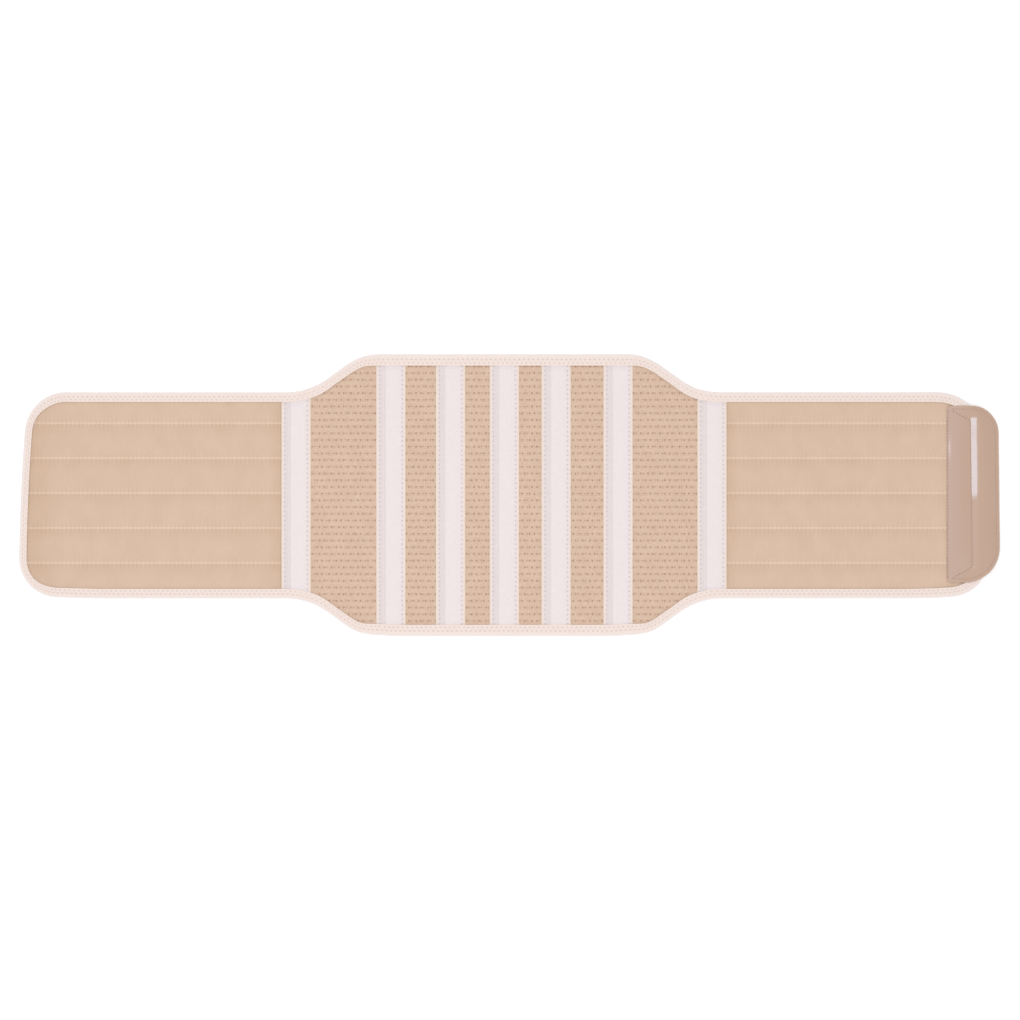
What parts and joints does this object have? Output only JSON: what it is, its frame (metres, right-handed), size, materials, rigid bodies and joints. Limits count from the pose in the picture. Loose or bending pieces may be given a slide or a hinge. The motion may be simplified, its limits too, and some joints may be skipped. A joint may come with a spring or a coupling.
{
  "type": "waist warming belt",
  "caption": "Flat wrap-around waist warmer: padded hourglass back panel with tape-covered stays, ribbed elastic wings, knitted edge binding and a smooth hook closure tab at one end.",
  "frame": {"origin": "on the resting plane, under the middle of the back panel", "axes": "+X along the belt towards the closure tab, +Y up the wearer's back, +Z out of the outer face, up from the table it lies on"},
  "size_m": [0.8727, 0.25, 0.0068],
  "materials": {
    "mesh_knit": "perforated knit, matte",
    "elastic": "ribbed elastic, matte",
    "woven_tape": "woven, satin",
    "binding": "knitted, matte",
    "film": "smooth, glossy",
    "hooks": "moulded hooks"
  },
  "bodies": {
    "root": {"back_panel": "mesh_knit", "left_wing": "elastic", "right_wing": "elastic", "left_join_tape": "woven_tape", "right_join_tape": "woven_tape", "stay_tape_1": "woven_tape", "stay_tape_2": "woven_tape", "stay_tape_3": "woven_tape", "stay_tape_4": "woven_tape", "stay_tape_5": "woven_tape", "edge_binding": "binding", "closure_tab": "film", "hook_patch": "hooks"}
  },
  "joints": []
}
